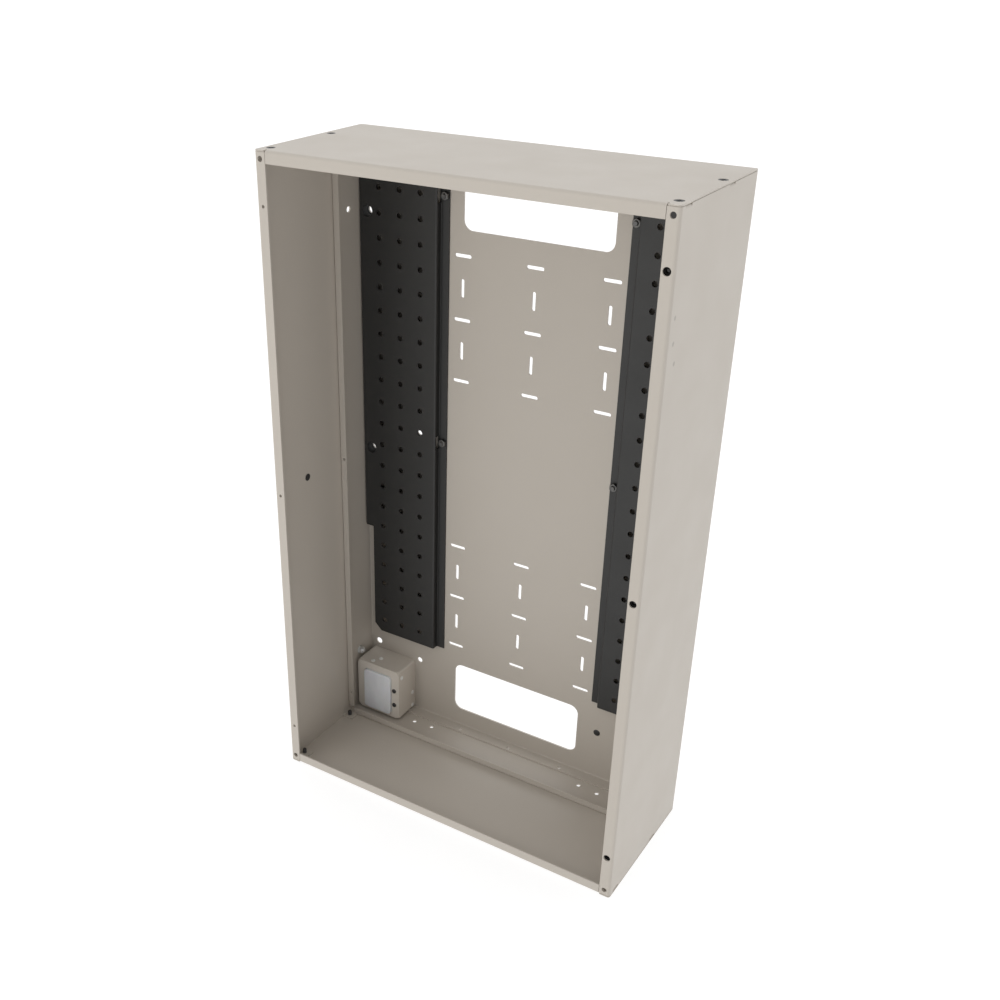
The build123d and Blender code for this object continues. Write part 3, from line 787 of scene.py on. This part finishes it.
def hex_nut(flats, thickness, bore_radius, hardware):
    """Nut from height 0 to its thickness, as a ring.

    The outer radius at angle a is half the flats over the cosine of the angle to the nearest
    flat. A cone of 30 degrees cuts it near both faces, and the bore is threaded.
    """
    steps = hardware.round_steps
    sector = math.radians(60)
    angle = angles(steps)
    to_flat = (angle + sector / 2) % sector - sector / 2
    hexagon = flats / 2 / np.cos(to_flat)
    corner = flats / 2 / math.cos(sector / 2)
    washer_face = flats * 0.475
    chamfer = (corner - washer_face) / math.tan(math.radians(60))
    depth = np.linspace(0.0, chamfer, 6)
    cone = washer_face + depth * math.tan(math.radians(60))
    low_radius = np.minimum(hexagon[None, :], cone[:, None])
    low_height = np.repeat(depth[:, None], steps, axis=1)
    lead_in = 0.2 * MM
    bore = shank_rows(bore_radius, thickness - lead_in, lead_in, hardware)
    mouth = np.array([(bore_radius + lead_in, thickness)])
    foot = np.array([(bore_radius + lead_in, 0.0)])
    rows = stacked(
        (low_radius, low_height),
        (low_radius[::-1], thickness - low_height[::-1]),
        mouth,
        bore,
        foot,
    )
    return turned(*rows, steps)


def threaded_stud(radius, length, hardware):
    """Stud from height 0 to its length with a chamfered end."""
    chamfer = 0.4 * MM
    shank = shank_rows(radius, 0.0, length - chamfer, hardware)
    foot = np.array([(0.0, 0.0)])
    end = np.array([(radius - hardware.thread_depth - 0.1 * MM, length), (0.0, length)])
    return turned(*stacked(foot, shank, end), hardware.round_steps)


def flat_washer(radius, bore_radius, thickness, hardware):
    """Washer as a ring with a rounded upper rim."""
    round_over = thickness * 0.35
    rim = arc((radius - round_over, thickness - round_over), round_over, 0, 90)
    outer = np.array([(radius - 0.05 * MM, 0.0), (radius, 0.05 * MM)])
    inner = np.array([(bore_radius, thickness), (bore_radius, 0.0)])
    profile = np.concatenate([outer, rim, inner])
    return turned(profile[:, 0], profile[:, 1], hardware.round_steps)


def snap_plug(head_radius, depth, hardware):
    """Plug with its seat at height 0: domed head with a thin rim, and a waisted shank.

    The dome's height at a share s of its radius is the cosine of a quarter turn times s, to
    the power 0.8.
    """
    rim = PLUG_HEAD_HEIGHT * 0.35
    share = np.linspace(0.0, 1.0, 12)
    dome_radius = share * head_radius * 0.86
    dome_height = rim + (PLUG_HEAD_HEIGHT - rim) * np.cos(share * math.pi / 2) ** 0.8
    edge = arc((head_radius - rim / 2, rim / 2), rim / 2, 90, -90)
    shank = np.array(
        [
            (PLUG_SHANK, 0.0),
            (PLUG_SHANK * 0.94, -depth * 0.5),
            (PLUG_SHANK, -depth),
            (0.0, -depth),
        ]
    )
    profile = np.concatenate([np.stack([dome_radius, dome_height], axis=-1), edge, shank])
    return turned(profile[:, 0], profile[:, 1], hardware.round_steps)


def blind_rivet(head_radius, depth, hardware):
    """Blind rivet with its seat at height 0: sunk mandrel end, domed head and plain shank.

    The dome's height at a share s of the way from the mandrel to the rim is the square root
    of 1 - 0.97 s^2.4, which leaves a thin rim.
    """
    mandrel = head_radius * 0.36
    sunk = RIVET_HEAD_HEIGHT * 0.35
    share = np.linspace(0.0, 1.0, 9)
    dome_radius = mandrel + share * (head_radius - mandrel)
    dome_height = RIVET_HEAD_HEIGHT * np.sqrt(1.0 - 0.97 * share**2.4)
    centre = np.array([(0.0, sunk), (mandrel * 0.85, sunk), (mandrel, RIVET_HEAD_HEIGHT * 0.9)])
    shank = np.array([(head_radius, 0.0), (RIVET_SHANK, 0.0), (RIVET_SHANK, -depth), (0.0, -depth)])
    profile = np.concatenate([centre, np.stack([dome_radius, dome_height], axis=-1), shank])
    return turned(profile[:, 0], profile[:, 1], hardware.round_steps)


def moulded_block(low, high, corner, edge):
    """Block with rounded corners whose front face, at low y, is slightly crowned.

    An outline point is the centre of its corner's rounding plus the corner's radius, less an
    inset, times the unit vector at its angle. The face's rows are a share s of the outline, at
    crown s^4 behind the front. Then the edge's rows at angle a have an inset of edge (1 - cos a)
    and lie edge (1 - sin a) further back.
    """
    per_corner = 10
    half = np.array([(high[0] - low[0]) / 2, (high[2] - low[2]) / 2])
    centre = np.array([(high[0] + low[0]) / 2, (high[2] + low[2]) / 2])
    quarter = np.linspace(0.0, 90.0, per_corner)
    signs = np.repeat([(1, 1), (-1, 1), (-1, -1), (1, -1)], per_corner, axis=0)
    turn = np.radians(np.concatenate([quarter + 90.0 * side for side in range(4)]))
    around = np.stack([np.cos(turn), np.sin(turn)], axis=-1)
    crown = 0.35 * MM

    def outline(inset):
        return centre + signs * (half - corner) + around * (corner - inset)

    def row(points, y):
        return np.stack([points[:, 0], np.full(len(points), y), points[:, 1]], axis=-1)

    rows = []
    for share in np.linspace(0.0, 0.96, 10):
        points = centre + (outline(edge) - centre) * share
        rows.append(row(points, low[1] + crown * share**4))
    for angle in np.radians(np.linspace(90, 0, 8)):
        inset = edge * (1 - math.cos(angle))
        rows.append(row(outline(inset), low[1] + crown + edge * (1 - math.sin(angle))))
    rows.append(row(outline(0.0), high[1]))
    rows.append(row(np.repeat(centre[None, :], len(around), axis=0), high[1]))
    return np.stack(rows)


def middle(box):
    """Middle of a box given by two corner arrays."""
    return (box[0] + box[1]) / 2


def point_at(box, axis, value):
    """The middle of a box, with its place along one axis set."""
    place = middle(box)
    place[axis] = value
    return place


def nuts_forwards(node, bore_radius, hardware):
    """Grids of the nuts of a CAD node, each seated at the rear of its box and facing forwards."""
    grids = []
    for low, high in solid_boxes(node):
        nut = hex_nut(high[0] - low[0], high[1] - low[1], bore_radius, hardware)
        grids.append((placed(nut, point_at((low, high), 1, high[1]), FORWARDS), True))
    return grids


# ---------------------------------------------------------------- operators

def hardware_settings():
    """The scene's thread, recess and step sizes."""
    return bpy.context.scene.enclosure_hardware


def paint_settings():
    """The scene's paint colours."""
    return bpy.context.scene.enclosure_paint


def material_named(name, make):
    """A material that several operators share, made the first time."""
    return bpy.data.materials.get(name) or make()


class ENCLOSURE_OT_sheet_finish(Operator):
    """Give the folded body, the end plates and the ledges their powder coat"""

    bl_idname = "enclosure.sheet_finish"
    bl_label = "Enclosure paint"

    def execute(self, context):
        paint_nodes(SHEET_NODES, enclosure_paint(paint_settings()))
        return {"FINISHED"}


class ENCLOSURE_OT_device_plate_finish(Operator):
    """Give both perforated device plates their black coat"""

    bl_idname = "enclosure.device_plate_finish"
    bl_label = "Device plate coat"

    def execute(self, context):
        paint_nodes(DEVICE_PLATE_NODES, device_plate_coat(paint_settings()))
        return {"FINISHED"}


class ENCLOSURE_OT_end_screws(Operator):
    """Make the countersunk cross recess screws of both end plates"""

    bl_idname = "enclosure.end_screws"
    bl_label = "End plate screws"

    def execute(self, context):
        hardware = hardware_settings()
        metal = material_named("black_oxide", black_oxide)
        for end, side in (("top", 1), ("bottom", -1)):
            grids = []
            for low, high in solid_boxes(f"{end}_end_screws"):
                screw = flush_screw((high[0] - low[0]) / 2, high[2] - low[2], hardware)
                face = high[2] if side > 0 else low[2]
                grids.append((placed(screw, point_at((low, high), 2, face), (0, 0, side)), False))
            name = f"{end}_flush_screws"
            piece_from_grids(name, grids, metal, f"{end}_end_screws")
        return {"FINISHED"}


class ENCLOSURE_OT_plate_fixings(Operator):
    """Make the studs and nuts that hold the device plates"""

    bl_idname = "enclosure.plate_fixings"
    bl_label = "Device plate studs and nuts"

    def execute(self, context):
        hardware = hardware_settings()
        metal = black_zinc()
        for side in ("left", "right"):
            studs = []
            for low, high in solid_boxes(f"{side}_plate_studs"):
                stud_radius = (high[0] - low[0]) / 2
                stud = threaded_stud(stud_radius, high[1] - low[1], hardware)
                studs.append((placed(stud, point_at((low, high), 1, high[1]), FORWARDS), False))
            name = f"{side}_threaded_studs"
            piece_from_grids(name, studs, metal, f"{side}_plate_studs")
            nuts = nuts_forwards(f"{side}_plate_nuts", stud_radius + THREAD_FIT, hardware)
            name = f"{side}_hex_nuts"
            piece_from_grids(name, nuts, metal, f"{side}_plate_nuts")
        return {"FINISHED"}


class ENCLOSURE_OT_cover_nuts(Operator):
    """Make the weld nuts behind the holes of the right lip"""

    bl_idname = "enclosure.cover_nuts"
    bl_label = "Cover nuts"

    def execute(self, context):
        nuts = nuts_forwards("cover_nuts", COVER_NUT_BORE, hardware_settings())
        # The weld nuts are a real part; their nearly black matt colour is painted shade for the shadow
        # inside the lip holes.
        piece_from_grids("weld_nuts", nuts, black_phosphate_painted_shade(), "cover_nuts")
        return {"FINISHED"}


class ENCLOSURE_OT_ground_fixing(Operator):
    """Make the ground stud in the left wall with its washer and nut"""

    bl_idname = "enclosure.ground_fixing"
    bl_label = "Ground stud"

    def execute(self, context):
        hardware = hardware_settings()
        size = self.box_size("ground_stud")
        radius = size[1] / 2
        stud = threaded_stud(radius, size[0], hardware)
        self.make("ground_threaded_stud", stud, False, "ground_stud")
        size = self.box_size("ground_washer")
        washer = flat_washer(size[1] / 2, radius + WASHER_FIT, size[0], hardware)
        self.make("ground_flat_washer", washer, True, "ground_washer")
        size = self.box_size("ground_nut")
        nut = hex_nut(min(size[1:]), size[0], radius + THREAD_FIT, hardware)
        self.make("ground_hex_nut", nut, True, "ground_nut")
        return {"FINISHED"}

    def box_size(self, node):
        low, high = solid_boxes(node)[0]
        return high - low

    def make(self, name, grid, ring, node):
        """Puts a grid at the left end of its node's box, facing inwards."""
        box = solid_boxes(node)[0]
        grids = [(placed(grid, point_at(box, 0, box[0][0]), INWARDS), ring)]
        metal = material_named("bright_zinc", zinc_plating)
        piece_from_grids(name, grids, metal, node)


class ENCLOSURE_OT_plugs(Operator):
    """Make the snap plugs of the left wall and the back panel"""

    bl_idname = "enclosure.plugs"
    bl_label = "Hole plugs"

    def execute(self, context):
        hardware = hardware_settings()
        nylon = black_nylon()
        for name, axis, direction in (("side_wall_plug", 0, INWARDS), ("back_panel_plug", 1, FORWARDS)):
            low, high = solid_boxes(name)[0]
            depth = high[axis] - low[axis] - PLUG_HEAD_HEIGHT
            plug = snap_plug((high[2] - low[2]) / 2, depth, hardware)
            seat = high[axis] - PLUG_HEAD_HEIGHT if direction[axis] > 0 else low[axis] + PLUG_HEAD_HEIGHT
            grids = [(placed(plug, point_at((low, high), axis, seat), direction), False)]
            piece_from_grids(f"{name}_moulding", grids, nylon, name)
        return {"FINISHED"}


class ENCLOSURE_OT_junction_box(Operator):
    """Paint the junction box and make its block, screws and rivets"""

    bl_idname = "enclosure.junction_box"
    bl_label = "Junction box"

    def execute(self, context):
        paint = paint_settings()
        paint_nodes(BOX_SHEET_NODES, junction_box_coat(paint))
        self.make_block(terminal_plastic(paint))
        dark = material_named("black_oxide", black_oxide)
        self.make_screws("junction_box_cover_screws", dark, "black_oxide")
        zinc = material_named("bright_zinc", zinc_plating)
        self.make_screws("junction_box_mount_screws", zinc, "zinc_plate")
        self.make_rivets(bare_aluminium())
        return {"FINISHED"}

    def make_block(self, plastic):
        low, high = solid_boxes("terminal_block")[0]
        grids = [(moulded_block(low, high, BLOCK_CORNER, BLOCK_EDGE), False)]
        name = "terminal_block_moulding"
        piece_from_grids(name, grids, plastic, "terminal_block")

    def make_screws(self, node, metal, slot):
        """Pan head screws that face forwards."""
        grids = []
        for low, high in solid_boxes(node):
            length = high[1] - low[1] - PAN_HEAD_HEIGHT
            screw = pan_screw((high[0] - low[0]) / 2, length, hardware_settings())
            seat = point_at((low, high), 1, low[1] + PAN_HEAD_HEIGHT)
            grids.append((placed(screw, seat, FORWARDS), False))
        piece_from_grids(f"{node}_turned", grids, metal, node)

    def make_rivets(self, metal):
        """Blind rivets, each along the thin side of its box, with its head at the high end."""
        node = "junction_box_rivets"
        grids = []
        for low, high in solid_boxes(node):
            size = high - low
            axis = int(size.argmin())
            depth = size[axis] - RIVET_HEAD_HEIGHT
            rivet = blind_rivet(size.max() / 2, depth, hardware_settings())
            seat = point_at((low, high), axis, high[axis] - RIVET_HEAD_HEIGHT)
            grids.append((placed(rivet, seat, np.eye(3)[axis]), False))
        piece_from_grids("junction_box_blind_rivets", grids, metal, node)


def sky_lobe(tree, direction, edge):
    """Rises from zero to one as a direction in the sky turns towards the given one."""
    turn = tree.nodes.new("ShaderNodeVectorMath")
    turn.operation = "DOT_PRODUCT"
    turn.inputs[1].default_value = Vector(direction).normalized()
    generated = tree.nodes.new("ShaderNodeTexCoord").outputs["Generated"]
    tree.links.new(generated, turn.inputs[0])
    return ranged(tree, turn.outputs["Value"], 0.0, 1.0, edge, 1.0)


def scaled_sum(tree, value, factor, addend):
    """A value times a factor, plus a number or another value."""
    node = tree.nodes.new("ShaderNodeMath")
    node.operation = "MULTIPLY_ADD"
    tree.links.new(value, node.inputs[0])
    node.inputs[1].default_value = factor
    if isinstance(addend, bpy.types.NodeSocket):
        tree.links.new(addend, node.inputs[2])
    else:
        node.inputs[2].default_value = addend
    return node.outputs["Value"]


class ENCLOSURE_OT_stage(Operator):
    """Make the floor, the white surroundings, the soft light and the camera"""

    bl_idname = "enclosure.stage"
    bl_label = "Stage"

    def execute(self, context):
        stage = context.scene.enclosure_stage
        self.make_floor(stage)
        self.make_surroundings(context.scene, stage)
        self.make_light(context.scene, stage)
        self.make_camera(context.scene, stage)
        return {"FINISHED"}

    def make_floor(self, stage):
        half = stage.floor_size / 2
        below = -FLOOR_GAP
        mesh = bpy.data.meshes.new("floor")
        corners = [(-half, -half, below), (half, -half, below), (half, half, below), (-half, half, below)]
        mesh.from_pydata(corners, [], [(0, 1, 2, 3)])
        mesh.materials.append(pale_floor(stage.floor_glow))
        floor = bpy.data.objects.new("floor", mesh)
        bpy.context.scene.collection.objects.link(floor)

    def make_surroundings(self, scene, stage):
        world = bpy.data.worlds.new("studio")
        world.use_nodes = True
        tree = world.node_tree
        background = tree.nodes["Background"]
        background.inputs["Color"].default_value = (1.0, 1.0, 1.0, 1.0)
        overhead = sky_lobe(tree, (0.0, 0.0, 1.0), 0.0)
        front_right = sky_lobe(tree, (0.6, -0.8, 0.1), 0.1)
        lifted = scaled_sum(tree, overhead, stage.top_lift, stage.sky)
        strength = scaled_sum(tree, front_right, -stage.right_shade, lifted)
        tree.links.new(strength, background.inputs["Strength"])
        scene.world = world
        scene.view_settings.view_transform = "Standard"

    def make_light(self, scene, stage):
        """Square soft light, turned towards the middle of the enclosure."""
        data = bpy.data.lights.new("front_light", "AREA")
        data.shape = "SQUARE"
        data.size = stage.light_size
        data.energy = stage.light_power
        data.color = stage.light_colour
        light = bpy.data.objects.new("front_light", data)
        place = Vector(stage.light_place)
        aim = Vector((0.0, 0.0, CAD_BOX[1][2] / 2))
        light.location = place
        light.rotation_euler = (aim - place).to_track_quat("-Z", "Y").to_euler()
        scene.collection.objects.link(light)

    def make_camera(self, scene, stage):
        data = bpy.data.cameras.new("camera")
        data.lens = stage.lens
        data.sensor_width = 36.0
        data.shift_x, data.shift_y = stage.shift
        camera = bpy.data.objects.new("camera", data)
        level = math.cos(stage.elevation)
        back = Vector(
            (
                math.sin(stage.azimuth) * level,
                -math.cos(stage.azimuth) * level,
                math.sin(stage.elevation),
            )
        )
        camera.location = Vector(stage.aim) + back * stage.distance
        camera.rotation_euler = (-back).to_track_quat("-Z", "Y").to_euler()
        scene.collection.objects.link(camera)
        scene.camera = camera


PIECE_OPERATORS = (
    ENCLOSURE_OT_stage,
    ENCLOSURE_OT_sheet_finish,
    ENCLOSURE_OT_device_plate_finish,
    ENCLOSURE_OT_end_screws,
    ENCLOSURE_OT_plate_fixings,
    ENCLOSURE_OT_cover_nuts,
    ENCLOSURE_OT_ground_fixing,
    ENCLOSURE_OT_plugs,
    ENCLOSURE_OT_junction_box,
)


class ENCLOSURE_PT_panel(Panel):
    """Lists the enclosure's finishes and pieces"""

    bl_idname = "ENCLOSURE_PT_panel"
    bl_label = "Subpanel enclosure"
    bl_space_type = "VIEW_3D"
    bl_region_type = "UI"
    bl_category = "Enclosure"

    def draw(self, context):
        column = self.layout.column(align=True)
        for operator in PIECE_OPERATORS:
            column.operator(operator.bl_idname, text=operator.bl_label)
        for settings in ("enclosure_paint", "enclosure_hardware", "enclosure_stage"):
            group = getattr(context.scene, settings)
            box = self.layout.box()
            for name in group.__annotations__:
                box.prop(group, name)


SETTINGS = {
    "enclosure_paint": PaintSettings,
    "enclosure_hardware": HardwareSettings,
    "enclosure_stage": StageSettings,
}


def register():
    for cls in (*SETTINGS.values(), *PIECE_OPERATORS, ENCLOSURE_PT_panel):
        bpy.utils.register_class(cls)
    for name, cls in SETTINGS.items():
        setattr(bpy.types.Scene, name, PointerProperty(type=cls))


def unregister():
    for name in SETTINGS:
        delattr(bpy.types.Scene, name)
    for cls in reversed((*SETTINGS.values(), *PIECE_OPERATORS, ENCLOSURE_PT_panel)):
        bpy.utils.unregister_class(cls)


def main():
    register()
    for operator in PIECE_OPERATORS:
        name = operator.bl_idname.split(".")[1]
        getattr(bpy.ops.enclosure, name)()


if __name__ == "__main__":
    main()
